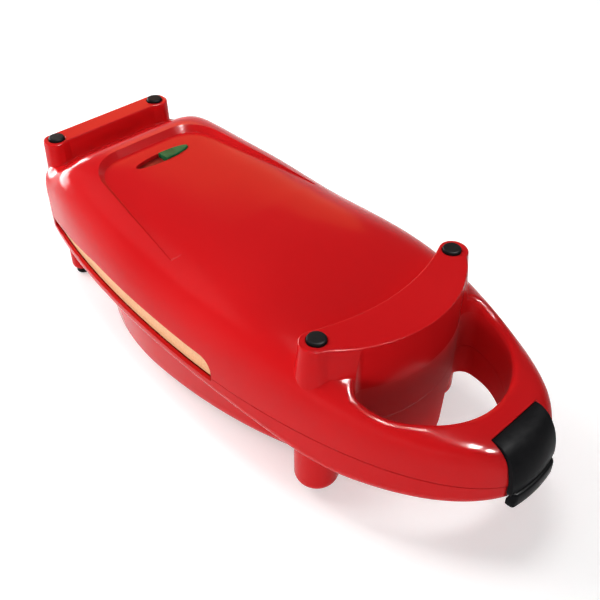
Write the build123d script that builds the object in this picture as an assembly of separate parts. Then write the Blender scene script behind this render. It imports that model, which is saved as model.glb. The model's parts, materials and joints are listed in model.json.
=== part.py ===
from build123d import *
from math import asin, cos, degrees, pi, radians, sin
import os

# Clamshell countertop skillet, closed. Millimetres, +Z up, +X to the right when the
# handle nose (-Y) faces the viewer, hinge at +Y, origin under the middle of the
# whole part at the surface that it stands on.

# Body, both shells together
body_length = 387.5
body_width = 159.0
body_height = 118.0
nose_run = 197.5
tail_sweep = 262.8
rear_corner_radius = 20.0
parting_gap = 0.4
shell_wall = 2.6

# Lid crown
crown_below_pads = 0.7
crown_edge_radius = 12.0
section_spans = 20
section_steps = 400
nose_cut = 5.0

# Lid crown sections: share of the way from the widest section to the nose or to the
# rear wall, crown height as a share of crown_rise, and fullness of the corners
nose_sections = (
    (0.952, 0.343, 6.6),
    (0.912, 0.426, 6.8),
    (0.835, 0.483, 6.6),
    (0.709, 0.571, 5.4),
    (0.557, 0.690, 5.1),
    (0.354, 0.816, 4.7),
    (0.152, 0.886, 3.8),
)
nose_end_crown = 0.241
nose_end_fullness = 6.0
tail_sections = (
    (0.105, 0.912, 3.3),
    (0.368, 0.955, 3.7),
    (0.579, 0.995, 4.0),
    (0.695, 1.0, 4.6),
    (0.800, 0.925, 5.6),
)
tail_end_crown = 0.732
tail_end_fullness = 7.6
corner_turns = (0, 25, 48, 68, 82, 90)

# Base shell: its rim is deeper where the handle's arms meet the front feet
rim_depth = 13.7
rim_radius = 8.5
belly_step = 9.0
belly_behind_widest = 40.0
belly_front_from_nose = 69.5
belly_rear_from_rear_wall = 36.5
belly_floor_z = 6.5
belly_slope = 0.1
belly_radius = 13.0
belly_nose_radius = 5.0

# Depth of the rim below the parting plane in the front half, at distances from the nose
rim_depths = (
    (-6.0, 11.5),
    (6.0, 13.4),
    (21.0, 16.6),
    (49.0, 21.0),
    (70.0, 23.2),
    (88.0, 24.2),
    (121.0, 20.0),
    (165.0, 14.6),
)

# Handle opening
grip_half_width = 52.0
grip_half_length = 54.0
grip_centre_from_nose = 85.5
grip_corner_radius = 7.0
grip_wall = 2.4
grip_edge_radius = 3.5

# Feet and their rubber pads
foot_rows = 270.0
front_feet_from_nose = 107.5
front_feet_half_span = 55.0
rear_feet_half_span = 41.7
pad_radius = 5.45
pad_proud = 2.0
pad_sunk = 2.0
pad_clearance = 0.5
pad_edge_radius = 1.2
pad_stem_radius = 2.0
pad_stem_length = 5.0
foot_core_radius = 7.5
base_pad_proud = 4.0
front_posts_half_span = 53.0
front_post_radius = 13.5
front_post_rounding = 7.5
rear_posts_half_span = 40.5
rear_posts_from_rear_wall = 8.6
rear_post_radius = 8.0
rear_post_rounding = 4.5

# Crescent foot on the lid
crescent_front_reach = 33.0
crescent_rear_reach = 3.5
crescent_end_x = 64.8
crescent_tip_x = 57.0
crescent_tip_reach = 9.4
crescent_blend = 8.0
crescent_trim = 0.3
foot_draft = 6.0
foot_wall = 2.6
foot_edge_radius = 0.8

# Bar foot on the lid
bar_half_length = 50.4
bar_half_depth = 8.4
bar_corner_radius = 7.0
bar_relief = 2.0
bar_relief_half_length = 42.0
bar_relief_run = 6.0
bar_draft = 2.0

# Arch recess in the crown, which fades out towards the handle
arch_rear_from_rear_wall = 53.5
arch_rear_half_width = 46.5
arch_front_half_width = 74.5
arch_length = 121.0
arch_corner_radius = 30.0
arch_depth = 4.4
arch_wall_slope = 42.0
arch_fade_from = 0.06
arch_fade_to = 0.579

# Indicator window in the recess
window_from_rear_wall = 75.5
window_half_length = 21.5
window_half_width = 5.2
window_seat_drop = 0.6
lens_clearance = 0.15
lens_flange = 1.6
lens_flange_thickness = 1.4
red_lens_sunk = 2.4
green_lens_proud = 1.0
green_lens_edge = 0.8
lamp_holder_half_length = 33.0
lamp_holder_half_width = 7.0
lamp_holder_plate = 1.6
lamp_cup_half_length = 24.0
lamp_cup_half_width = 6.0
lamp_cup_depth = 7.0
lamp_cup_wall = 1.2
lamp_peg_half_span = 29.5
lamp_peg_radius = 2.6
lamp_seat_margin = 3.0
lamp_radius = 2.4
lamp_length = 12.0
lamp_half_span = 10.0

# Side slots, which show the skirt of the lid's pan
slot_front_from_rear_wall = 218.0
slot_rear_from_rear_wall = 18.0
slot_height = 13.0
slot_dip = 2.7
slot_front_radius = 9.0
slot_rear_height = 4.0
slot_rise_run = 75.0
slot_corner_radius = 1.5

# Pans
oven_behind_widest = 35.0
pan_side_gap = 6.0
pan_end_gap = 4.0
pan_wall = 2.0
pan_floor_inset = 9.0
pan_corner_radius = 12.0
flange_thickness = 2.0
flange_gap = 0.6
flange_front_from_nose = 106.0
flange_rear_from_rear_wall = 14.0
lid_flange_inset = 3.2
base_flange_inset = 6.2
skirt_wall = 1.5
skirt_height = 15.0
skirt_drop = 3.0
skirt_front_cover = 2.0
skirt_rear_gap = 10.0
flange_corner_radius = 8.0

# Heating elements, their clips and the trays that shield the shells
element_radius = 3.25
element_half_span = 30.0
element_front_from_middle = 66.0
element_rear_from_middle = 78.0
element_pin_radius = 1.5
element_pin_length = 10.0
strap_thickness = 1.0
strap_width = 8.0
strap_foot = 6.0
strap_places = (-10.0, 30.0, 66.0)
tray_wall = 0.8
tray_side_gap = 1.9
tray_end_gap = 8.9
tray_under_lamps = 5.3
tray_over_belly = 0.5
tray_floor_inset = 8.5
tray_gap = 1.5
tray_lip = 3.0
tray_corner_radius = 8.0
tray_hole_clearance = 1.0
thermostat_radius = 8.0
thermostat_height = 5.5
thermostat_tab_reach = 12.0
thermostat_tab_width = 5.0
thermostat_tab_thickness = 0.8
fuse_radius = 2.2
fuse_length = 14.0
fuse_wire_radius = 0.6
fuse_wire_reach = 15.0
fuse_from_middle = 40.0

# Plates that close the hollow handle
plate_clearance = 0.3
plate_rear_gap = 0.5
nose_block_half_width = 23.0
nose_block_length = 27.5

# Hinge
hinge_setback = 9.0
barrel_radius = 6.5
hinge_spacing = 64.0
lid_knuckle_width = 10.0
base_knuckle_width = 6.0
knuckle_side_gap = 0.4
knuckle_root = 2.0
knuckle_root_height = 12.0
hinge_pin_radius = 2.0
hinge_pin_head_radius = 3.2
hinge_pin_head_height = 1.2
hinge_running_gap = 0.05

# Latch clip on the nose
clip_half_width = 19.0
clip_side_gap = 0.35
clip_thickness = 3.0
clip_pivot_from_nose = 17.0
clip_pivot_rise = 21.4
clip_barrel_radius = 3.9
clip_barrel_gap = 0.5
clip_pin_radius = 1.2
clip_pin_grip = 3.5
clip_reach = 15.5
clip_bow = 2.5
clip_waist_drop = 1.0
clip_fall = 14.0
clip_foot_drop = 8.5
clip_seat_gap = 0.5
clip_nose_gap = 1.0
clip_corner_radius = 6.0
lip_reach = 19.2
lip_half_width = 18.2
lip_bow = 1.9
lip_low_drop = 14.0
lip_height = 6.0
lip_corner_radius = 2.2
lip_edge_radius = 1.2
catch_half_width = 10.0
catch_drop = 9.0
catch_height = 3.0
catch_depth = 1.4
catch_gap = 0.35

# Supply gland, terminal block and leads
gland_above_floor = 23.5
gland_radius = 6.0
gland_tip_radius = 5.0
gland_bore_radius = 3.6
gland_outside = 16.0
gland_flange_radius = 8.5
gland_flange_thickness = 2.0
gland_seat_margin = 1.0
gland_rings = 4
gland_ring_depth = 0.8
gland_ring_width = 1.6
block_half_width = 16.0
block_length = 18.0
block_height = 8.0
block_from_rear_wall = 12.0
block_ways = 4
conductor_radius = 1.2
conductor_half_spacing = 2.0
conductor_bend = 3.0
lead_level = 7.0
lead_straight = 6.5
lead_tail = 4.0
hinge_lead_radius = 2.0
hinge_lead_offset = 14.0
hinge_lead_bend = 6.0
hinge_lead_gap = 0.2
sleeve_half_length = 5.0
sleeve_wall = 1.0
lead_clearance = 0.3
lead_from_gland = 1.0

# Screws
screw_radius = 1.5
screw_length = 9.0
screw_head_radius = 2.8
screw_head_height = 1.6
screw_clearance = 0.2
boss_radius = 4.0
pan_screw_inset = 20.5
pan_screw_front_margin = 13.5
pan_screw_rear_margin = 20.0
nose_screw_half_span = 11.0
nose_screw_from_nose = 20.0

# Places worked out from the sizes above
lip_overhang = lip_reach - clip_pivot_from_nose
overall_length = lip_overhang + body_length + hinge_setback + barrel_radius
nose_y = lip_overhang - overall_length / 2
rear_y = nose_y + body_length
wide_y = nose_y + nose_run
tail_run = body_length - nose_run
parting_z = body_height / 2
hinge_y = rear_y + hinge_setback
front_feet_y = nose_y + front_feet_from_nose
rear_feet_y = front_feet_y + foot_rows
rear_posts_y = rear_y - rear_posts_from_rear_wall
foot_top = body_height - pad_proud
crown_rise = body_height - crown_below_pads - parting_z
crown_top = parting_z + crown_rise
lid_edge_z = parting_z + parting_gap / 2
base_edge_z = parting_z - parting_gap / 2
rim_floor_z = parting_z - rim_depth
rim_inner_z = rim_floor_z + shell_wall
belly_y = wide_y + belly_behind_widest
belly_half_width = body_width / 2 - belly_step
belly_front = belly_y - nose_y - belly_front_from_nose
belly_rear = rear_y - belly_rear_from_rear_wall - belly_y
grip_y = nose_y + grip_centre_from_nose
oven_y = wide_y + oven_behind_widest
flange_front_y = nose_y + flange_front_from_nose
flange_rear_y = rear_y - flange_rear_from_rear_wall
nose_wall_y = nose_y + nose_cut + shell_wall
nose_block_y = nose_y + nose_block_length
slot_front_y = rear_y - slot_front_from_rear_wall
slot_rear_y = rear_y - slot_rear_from_rear_wall
window_y = rear_y - window_from_rear_wall
recess_z = crown_top - arch_depth
seat_z = recess_z - shell_wall - window_seat_drop
clip_pivot_y = nose_y + clip_pivot_from_nose
clip_pivot_z = parting_z + clip_pivot_rise
clip_waist_z = parting_z - clip_waist_drop
clip_foot_z = parting_z - clip_foot_drop
clip_rise = clip_pivot_z + clip_barrel_radius - clip_waist_z
clip_front_y = clip_pivot_y - clip_reach
lip_low_z = parting_z - lip_low_drop
catch_z = parting_z - catch_drop
strap_reach = element_radius + strap_thickness
block_rear_y = rear_y - block_from_rear_wall
gland_z = belly_floor_z + gland_above_floor
gland_rise = gland_above_floor + gland_flange_radius
gland_face_y = belly_y + belly_rear + belly_slope * gland_rise
lid_pads = ((front_feet_half_span, front_feet_y), (rear_feet_half_span, rear_feet_y))
base_pads = ((front_posts_half_span, front_feet_y), (rear_posts_half_span, rear_posts_y))

# Pans and trays, which fill the room that the shells leave
tray_half_width = belly_half_width - shell_wall - tray_side_gap
tray_half_length = belly_y + belly_rear - shell_wall - tray_end_gap - oven_y
pan_half_width = tray_half_width - pan_side_gap
pan_half_length = tray_half_length - pan_end_gap
tray_stack = pan_wall + element_radius + strap_reach + tray_gap / 3 + tray_wall
lamp_cup_low_z = seat_z - lens_flange_thickness - lamp_holder_plate - lamp_cup_depth
tray_floor_z = belly_floor_z + shell_wall + tray_over_belly
base_pan_depth = parting_z - flange_gap - tray_stack - tray_floor_z
lid_pan_depth = lamp_cup_low_z - tray_under_lamps - tray_stack - parting_z - flange_gap

os.makedirs("parts", exist_ok=True)


def outline(inset=0.0):
    """Plan outline of the body, moved in by inset."""
    half = body_width / 2 - inset
    tail = tail_sweep - inset
    swing = degrees(asin((tail_run - inset) / tail))
    centre = (0, wide_y)
    nose_arc = EllipticalCenterArc(centre, half, nose_run - inset, 180, arc_size=180)
    right_arc = EllipticalCenterArc(centre, half, tail, 0, arc_size=swing)
    left_arc = EllipticalCenterArc(centre, half, tail, 180 - swing, arc_size=swing)
    rear_line = Line(right_arc @ 1, left_arc @ 0)
    face = make_face([nose_arc, right_arc, rear_line, left_arc])
    corners = face.vertices().sort_by(Axis.Y)[-2:]
    return fillet(corners, rear_corner_radius - inset)


def half_width(y, inset=0.0):
    """Half the width of the body's outline at y, moved in by inset."""
    across = Edge.make_line((0, y, 0), (body_width, y, 0))
    return across.intersect(outline(inset).face()).edge().length


def slab(sketch, low, high):
    """A sketch drawn at z = 0, raised and extruded from low to high."""
    return extrude(Pos(0, 0, low) * sketch, high - low)


def band(y_low, y_high, half=body_width, low=-body_height, high=2 * body_height):
    """A block over the whole width between two places along Y."""
    middle = (y_low + y_high) / 2
    return Pos(0, middle, (low + high) / 2) * Box(2 * half, y_high - y_low, high - low)


def both_sides(shape):
    """A shape and its mirror image across the middle plane."""
    return shape + mirror(shape, Plane.YZ)


def crown_section(y, rise, fullness, inset):
    """Section of the lid across the body, a superellipse that stands on the parting plane."""
    half = half_width(y, inset)
    curve = []
    for step in range(section_steps + 1):
        angle = pi * step / section_steps
        side = 1 if 2 * step < section_steps else -1
        across = side * half * abs(cos(angle)) ** (2 / fullness)
        curve.append(Vector(across, y, parting_z + rise * abs(sin(angle)) ** (2 / fullness)))
    lengths = [0.0]
    for before, after in zip(curve, curve[1:]):
        lengths.append(lengths[-1] + (after - before).length)
    shares = [index / section_spans for index in range(section_spans + 1)]
    points = [curve[0]]
    for share in shares[1:-1]:
        target = lengths[-1] * share
        place = next(index for index, length in enumerate(lengths) if length > target)
        part_way = (target - lengths[place - 1]) / (lengths[place] - lengths[place - 1])
        points.append(curve[place - 1] + (curve[place] - curve[place - 1]) * part_way)
    points.append(curve[-1])
    top = Edge.make_spline(points, [Vector(0, 0, 1), Vector(0, 0, -1)], parameters=shares)
    return Wire([top, Edge.make_line(points[-1], points[0])])


def lid_form(inset=0.0, lowered=0.0):
    """The lid's form as one solid, moved in by inset, with its crown lowered by lowered
    towards the rear."""
    first_y = nose_y + nose_cut + inset
    stations = [(first_y, crown_rise * nose_end_crown, nose_end_fullness)]
    for share, crown, fullness in nose_sections:
        y = wide_y - share * nose_run
        if y > first_y + nose_cut / 2:
            stations.append((y, crown_rise * crown, fullness))
    for share, crown, fullness in tail_sections:
        fade = (share - arch_fade_from) / (arch_fade_to - arch_fade_from)
        drop = lowered * min(1, fade)
        stations.append((wide_y + share * tail_run, crown_rise * crown - drop, fullness))
    corner = rear_corner_radius - inset
    for turn in corner_turns:
        y = rear_y - rear_corner_radius + corner * sin(radians(turn))
        edge = (crown_edge_radius - inset) * (1 - cos(radians(turn)))
        stations.append((y, crown_rise * tail_end_crown - edge - lowered, tail_end_fullness))
    sections = []
    for y, rise, fullness in stations:
        sections.append(crown_section(y, rise - inset, fullness, inset))
    return Solid.make_loft(sections)


def strip(y_low, y_high):
    """A sketch over the whole width between two places along Y."""
    middle = (y_low + y_high) / 2
    return Pos(0, middle) * Rectangle(2 * body_width, y_high - y_low)


def side_prism(sketch, half):
    """A sketch drawn as (y, z), made solid to half on both sides of the middle plane."""
    return extrude(Plane.YZ * sketch, half, both=True)


def flipped(shape):
    """A shape turned over the parting plane, from the lid's side to the base's."""
    return mirror(shape, Plane.XY.offset(parting_z))


def in_lid(shape):
    """A shape drawn up from a flange's face at z = 0, put in the lid."""
    return Pos(0, 0, parting_z + flange_gap) * shape


def in_base(shape):
    """A shape drawn up from a flange's face at z = 0, put in the base."""
    return flipped(in_lid(shape))


def tub(wide, long, inset, depth, corner):
    """An oval tub as a solid block, with its mouth at z = 0 and its floor at z = depth."""
    mouth = Pos(0, oven_y, 0) * Ellipse(wide, long)
    floor = Pos(0, oven_y, depth) * Ellipse(wide - inset, long - inset)
    form = loft([mouth, floor])
    return fillet(form.faces().sort_by(Axis.Z)[-1].edges(), corner)


def belly_plan(grow, z):
    """The belly's outline at height z, grown by grow."""
    front = EllipticalCenterArc((0, 0), belly_half_width + grow, belly_front + grow, 180, arc_size=180)
    rear = EllipticalCenterArc((0, 0), belly_half_width + grow, belly_rear + grow, 0, arc_size=180)
    return Pos(0, belly_y, z) * make_face([front, rear])


def belly(inset, top):
    """The belly as a solid block from its floor up to top, moved in by inset."""
    low = belly_floor_z + inset
    form = loft([belly_plan(-inset, low), belly_plan(belly_slope * (top - low) - inset, top)])
    return fillet(form.faces().sort_by(Axis.Z)[0].edges(), belly_radius - inset)


def above_rim(raised=0.0):
    """Side view of all that is above the rim's underside, as (y, z), raised by raised."""
    places = [(nose_y + distance, depth) for distance, depth in rim_depths]
    for share in (0.25, 0.5, 0.75, 1.1):
        places.append((wide_y + share * tail_run, rim_depth))
    low = parting_z + raised
    points = [(y, low - depth) for y, depth in places]
    underside = Spline(*points, tangents=[(1, -belly_slope), (1, 0)])
    high = 2 * body_height
    sides = Polyline(points[-1], (points[-1][0], high), (points[0][0], high), points[0])
    return make_face([underside, sides])


def tube(points, radius, bend):
    """A round tube along straight runs joined by arcs."""
    path = FilletPolyline(*points, radius=bend)
    start = Plane(origin=path @ 0, z_dir=path % 0)
    return sweep(start * Circle(radius), path=path)


def grip_prism(grow=0.0):
    """The handle opening from top to bottom, grown by grow."""
    reach = crescent_front_reach
    tip = crescent_tip_reach
    sagitta = reach - tip
    arc = (crescent_tip_x ** 2 + sagitta ** 2) / (2 * sagitta)
    foot_disc = Pos(0, front_feet_y - reach + arc) * Circle(arc - crescent_trim - grow)
    opening = Pos(0, grip_y) * Ellipse(grip_half_width + grow, grip_half_length + grow)
    opening -= foot_disc
    opening = fillet(opening.vertices().sort_by(Axis.Y)[-2:], grip_corner_radius + grow)
    return slab(opening, -body_height, 2 * body_height)


def crescent_sketch(inset=0.0):
    """Top outline of the foot between the handle opening and the crown."""
    tip_x = crescent_tip_x - inset / 2
    tip = crescent_tip_reach - inset
    end_x = crescent_end_x - inset
    front = ThreePointArc((-tip_x, -tip), (0, inset - crescent_front_reach), (tip_x, -tip))
    right = ThreePointArc(front @ 1, (end_x, 0), (tip_x, tip))
    rear = ThreePointArc(right @ 1, (0, -crescent_rear_reach - inset), (-tip_x, tip))
    left = ThreePointArc(rear @ 1, (-end_x, 0), front @ 0)
    face = make_face([front, right, rear, left])
    return Pos(0, front_feet_y) * fillet(face.vertices(), crescent_blend - inset)


def bar_sketch(inset=0.0):
    """Top outline of the foot at the rear, its front face set back between its ends."""
    half_length = bar_half_length - inset
    half_depth = bar_half_depth - inset
    bar = RectangleRounded(2 * half_length, 2 * half_depth, bar_corner_radius - inset)
    outer_x = bar_relief_half_length + inset
    inner_x = outer_x - bar_relief_run
    relief = [
        (-outer_x, -2 * half_depth),
        (-outer_x, -half_depth),
        (-inner_x, bar_relief - half_depth),
        (inner_x, bar_relief - half_depth),
        (outer_x, -half_depth),
        (outer_x, -2 * half_depth),
    ]
    return Pos(0, rear_feet_y) * (bar - make_face(Polyline(*relief, close=True)))


def foot(sketch, draft, drop):
    """A foot on the crown, widening down from the top of the part."""
    block = extrude(Pos(0, 0, foot_top) * sketch, -drop, taper=-draft)
    return fillet(block.faces().sort_by(Axis.Z)[-1].edges(), foot_edge_radius)


def foot_hollow(sketch, drop):
    """The space inside a foot, from a sketch that is already moved in by its wall."""
    return slab(sketch, foot_top - drop, foot_top - foot_wall)


def pad_cores(places, proud):
    """Solid cores that hold the pads and their stems, drawn in the lid's feet."""
    height = pad_sunk + pad_stem_length + foot_wall
    core = Pos(0, 0, body_height - proud - height / 2) * Cylinder(foot_core_radius, height)
    return [both_sides(Pos(x, y, 0) * core) for x, y in places]


def pad_seats(places, proud):
    """The recess and stem hole for each pad, drawn in the lid's feet."""
    top = body_height - proud
    recess = Pos(0, 0, top) * Cylinder(pad_radius + pad_clearance, 2 * pad_sunk)
    hole = Pos(0, 0, top - pad_sunk) * Cylinder(pad_stem_radius, 2 * pad_stem_length)
    return [both_sides(Pos(x, y, 0) * (recess + hole)) for x, y in places]


def pads(place, proud):
    """A pair of rubber pads that stand out of the lid's feet by proud."""
    height = proud + pad_sunk
    disc = Pos(0, 0, body_height - height / 2) * Cylinder(pad_radius, height)
    disc = fillet(disc.faces().sort_by(Axis.Z)[-1].edges(), pad_edge_radius)
    stem_z = body_height - height - pad_stem_length / 2
    pad = disc + Pos(0, 0, stem_z) * Cylinder(pad_stem_radius, pad_stem_length)
    x, y = place
    return both_sides(Pos(x, y, 0) * pad)


def arch_prism(grow=0.0):
    """The recess's outline, with walls that slope in as they go down."""
    rear = rear_y - arch_rear_from_rear_wall
    corners = [
        (-arch_rear_half_width, rear),
        (arch_rear_half_width, rear),
        (arch_front_half_width, rear - arch_length),
        (-arch_front_half_width, rear - arch_length),
    ]
    face = make_face(Polyline(*corners, close=True))
    face = fillet(face.vertices().sort_by(Axis.Y)[-2:], arch_corner_radius)
    if grow:
        face = offset(face, grow)
    raised = Pos(0, 0, crown_top) * face
    return extrude(raised, -crown_rise / 3, taper=arch_wall_slope) + extrude(raised, arch_depth)


def slot_cut():
    """The openings along both sides, cut through the walls of both shells."""
    low = parting_z - slot_dip
    high = parting_z + slot_height
    corners = [
        (slot_front_y, low),
        (slot_rear_y, low),
        (slot_rear_y, parting_z + slot_rear_height),
        (slot_rear_y - slot_rise_run, high),
        (slot_front_y, high),
    ]
    face = make_face(Polyline(*corners, close=True))
    low_corners = face.vertices().sort_by(Axis.Y)[:3]
    face = fillet(low_corners, slot_corner_radius)
    upper = face.vertices().filter_by(lambda v: v.Y > high - 0.01).sort_by(Axis.X)
    face = fillet(upper[0], slot_front_radius)
    upper = face.vertices().filter_by(lambda v: v.Y > high - 0.01).sort_by(Axis.X)
    face = fillet(upper[-1], 3 * slot_front_radius)
    wall = outline(-1) - outline(shell_wall + flange_gap / 2)
    return side_prism(face, body_width) & slab(wall, low - 1, high + 1)


def handle_screws():
    """Where the screws of a handle plate are, as (x, y)."""
    arm_x = (grip_half_width + grip_wall + half_width(grip_y, shell_wall)) / 2
    nose_screw_y = nose_y + nose_screw_from_nose
    return [(arm_x, grip_y), (nose_screw_half_span, nose_screw_y)]


def pan_screws():
    """Where the screws of a pan are, as (x, y)."""
    front = flange_front_y + pan_screw_front_margin
    rear = flange_rear_y - pan_screw_rear_margin
    return [(half_width(y) - pan_screw_inset, y) for y in (front, rear)]


def screw(radius, head_radius, length):
    """A flat-headed screw that goes up from z = 0."""
    head = Pos(0, 0, screw_head_height / 2) * Cone(head_radius, radius, screw_head_height)
    return head + Pos(0, 0, length / 2) * Cylinder(radius, length)


def screws():
    """All the screws of one half, heads flush with the flange's face."""
    one = screw(screw_radius, screw_head_radius, screw_length)
    one -= Box(2 * screw_head_radius, 0.6, 1.0)
    return [both_sides(Pos(x, y, 0) * one) for x, y in handle_screws() + pan_screws()]


def screw_holes(places):
    """Holes with sunk heads in a flange or plate."""
    hole = screw(screw_radius + screw_clearance, screw_head_radius, 2 * flange_thickness)
    return [both_sides(Pos(x, y, 0) * hole) for x, y in places]


def bosses():
    """Bosses that carry the screws, and the block in the nose."""
    tall = Pos(0, 0, flange_thickness + body_height / 2) * Cylinder(boss_radius, body_height)
    block_y = (nose_y + nose_block_y) / 2
    block_z = flange_thickness + body_height / 2
    block = Box(2 * nose_block_half_width, nose_block_length, body_height)
    posts = [both_sides(Pos(x, y, 0) * tall) for x, y in handle_screws() + pan_screws()]
    return posts + [Pos(0, block_y, block_z) * block]


def pilot_holes():
    """Holes for the screws' threads in the bosses."""
    hole = Pos(0, 0, screw_length / 2) * Cylinder(screw_radius, screw_length)
    return [both_sides(Pos(x, y, 0) * hole) for x, y in handle_screws() + pan_screws()]


def clip_nose(gap):
    """Side view of the nose under the clip, as (y, z), set back by gap from the clip."""
    reach = clip_reach - clip_thickness - gap
    rise = clip_rise - clip_thickness - gap
    top = Pos(clip_pivot_y, clip_waist_z) * Ellipse(reach, rise)
    low = Pos(clip_pivot_y, clip_waist_z - body_height / 2) * Rectangle(2 * reach, body_height)
    return top + low


def clip_pocket():
    """The room for the clip and its swing in the lid's nose."""
    front = Pos(clip_pivot_y - clip_reach * 2, clip_pivot_z)
    room = front * Rectangle(4 * clip_reach, body_height) - clip_nose(clip_seat_gap)
    barrel = Pos(clip_pivot_y, clip_pivot_z) * Circle(clip_barrel_radius + clip_barrel_gap)
    return side_prism(room + barrel, clip_half_width + clip_side_gap)


def lid_shell():
    """Upper shell: crown, handle arms, feet, recess, hinge knuckles and clip cheeks."""
    body = lid_form() - slab(outline(-1), 0, lid_edge_z)
    body -= grip_prism()
    body -= arch_prism() - lid_form(lowered=arch_depth)
    body = body.fillet(grip_edge_radius, body.edges().filter_by(on_grip_rim))
    drop = foot_top - parting_z - slot_height
    body += foot(crescent_sketch(), foot_draft, drop)
    body += foot(bar_sketch(), bar_draft, drop / 2)
    body -= grip_prism()

    hollow = lid_form(shell_wall)
    hollow += foot_hollow(crescent_sketch(foot_wall), drop)
    hollow += foot_hollow(bar_sketch(foot_wall), drop / 2)
    hollow -= grip_prism(grip_wall)
    backing = arch_prism(shell_wall + arch_depth)
    hollow -= backing - lid_form(shell_wall, arch_depth)
    seat = RectangleRounded(
        2 * (lamp_holder_half_length + lamp_seat_margin),
        2 * (lamp_holder_half_width + lamp_seat_margin),
        lamp_holder_half_width,
    )
    hollow -= slab(Pos(0, window_y) * seat, seat_z, crown_top)
    for keep in pad_cores(lid_pads, pad_proud):
        hollow -= keep
    for keep in bosses():
        hollow -= in_lid(keep)
    body -= hollow
    body -= clip_pocket() + slot_cut()
    body -= slab(window_outline(), seat_z - 1, crown_top)
    for hole in pad_seats(lid_pads, pad_proud):
        body -= hole
    for hole in pilot_holes():
        body -= in_lid(hole)
    body -= latch_pin()
    body += both_sides(knuckle(hinge_spacing / 2, lid_knuckle_width, 1))
    bore = Cylinder(hinge_pin_radius + hinge_running_gap, body_width)
    body -= Pos(0, hinge_y, parting_z) * Rot(0, 90, 0) * bore
    body -= mirror(flipped(lead_passage()), Plane.YZ)
    return body


def on_grip_rim(edge):
    """Whether an edge is where the handle opening meets the crown."""
    box = edge.bounding_box()
    inside = abs(box.min.X) < grip_half_width + 1 and abs(box.max.X) < grip_half_width + 1
    ahead = box.max.Y < front_feet_y and box.min.Y > grip_y - grip_half_length - 1
    return inside and ahead and box.min.Z > parting_z + slot_height


def knuckle(x, width, up):
    """A hinge knuckle centred on x, with its arm above or below the parting plane."""
    root_y = rear_y - knuckle_root
    edge = parting_z + up * parting_gap / 2
    corners = [
        (root_y, edge),
        (hinge_y, edge),
        (hinge_y, parting_z + up * barrel_radius),
        (root_y, parting_z + up * knuckle_root_height),
    ]
    arm = make_face(Polyline(*corners, close=True))
    side = arm + Pos(hinge_y, parting_z) * Circle(barrel_radius)
    return Pos(x, 0, 0) * side_prism(side, width / 2)


def lead_passage():
    """The notch in the base's rear wall for the lead across the hinge."""
    radius = hinge_lead_radius + lead_clearance
    y = rear_y - shell_wall / 2
    run = hinge_y - block_rear_y - lead_straight
    hole = Plane(origin=(0, 0, 0), z_dir=(0, run, lead_level)) * Cylinder(radius, 4 * shell_wall)
    slot = Pos(0, 0, lead_level / 2) * Box(2 * radius, 4 * shell_wall, lead_level)
    fall = lead_level * (hinge_y - y) / run
    return Pos(-hinge_lead_offset, y, parting_z - fall) * (hole + slot)


def base_posts(grow=0.0):
    """The four posts that the base stands on, from its pads up to the rim."""
    low = base_pad_proud - grow
    height = rim_inner_z - low
    rounding = (front_post_rounding, rear_post_rounding)
    posts = []
    for index, radius in enumerate((front_post_radius, rear_post_radius)):
        x, y = base_pads[index]
        post = Pos(0, 0, low + height / 2) * Cylinder(radius + grow, height)
        foot_edge = post.faces().sort_by(Axis.Z)[0].edges()
        post = fillet(foot_edge, max(rounding[index] + grow, 1))
        posts.append(both_sides(Pos(x, y, 0) * post))
    return posts


def base_shell():
    """Lower shell: handle arms and rim, the deep belly, posts and hinge knuckles."""
    rim = slab(outline(), 0, base_edge_z) & side_prism(above_rim(), body_width)
    rim = fillet(rim.faces().sort_by(Axis.Z)[0].edges(), rim_radius)
    rim -= grip_prism()
    rim = rim.fillet(grip_edge_radius, rim.edges().filter_by(on_lower_grip_rim))
    deep = belly(0, base_edge_z - shell_wall) - grip_prism()
    deep = deep.fillet(belly_nose_radius, deep.edges().filter_by(on_lower_grip_rim))
    body = rim + deep
    for post in base_posts():
        body += post - grip_prism()
    seat = Rot(90, 0, 0) * Cylinder(gland_flange_radius + gland_seat_margin, belly_radius)
    body += Pos(0, gland_face_y - belly_radius / 2, gland_z) * seat

    hollow = slab(outline(shell_wall), 0, parting_z + 1)
    hollow &= side_prism(above_rim(shell_wall), body_width)
    inner_edge = hollow.faces().sort_by(Axis.Z)[0].edges()
    hollow = fillet(inner_edge, rim_radius - shell_wall)
    hollow &= band(nose_wall_y, rear_y)
    hollow += belly(shell_wall, base_edge_z)
    for post in base_posts(-shell_wall):
        hollow += post
    hollow -= grip_prism(grip_wall)
    for keep in pad_cores(base_pads, base_pad_proud):
        hollow -= flipped(keep)
    for keep in bosses():
        hollow -= in_base(keep)
    body -= hollow
    body -= slot_cut()
    body -= nose_room()
    body += catch()
    for hole in pad_seats(base_pads, base_pad_proud):
        body -= flipped(hole)
    for hole in pilot_holes():
        body -= in_base(hole)
    gap = lid_knuckle_width / 2 + knuckle_side_gap + base_knuckle_width / 2
    for side in (-1, 1):
        body += both_sides(knuckle(hinge_spacing / 2 + side * gap, base_knuckle_width, -1))
    body -= Pos(0, hinge_y, parting_z) * Rot(0, 90, 0) * Cylinder(hinge_pin_radius, body_width)
    body -= lead_passage()
    hole = Rot(90, 0, 0) * Cylinder(gland_radius, 6 * shell_wall)
    body -= Pos(0, gland_face_y, gland_z) * hole
    return body


def on_lower_grip_rim(edge):
    """Whether an edge is where the handle opening meets the underside of the base."""
    box = edge.bounding_box()
    inside = abs(box.min.X) < grip_half_width + 1 and abs(box.max.X) < grip_half_width + 1
    ahead = box.max.Y < front_feet_y and box.min.Y > grip_y - grip_half_length - 1
    return inside and ahead and box.max.Z < rim_inner_z


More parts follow.
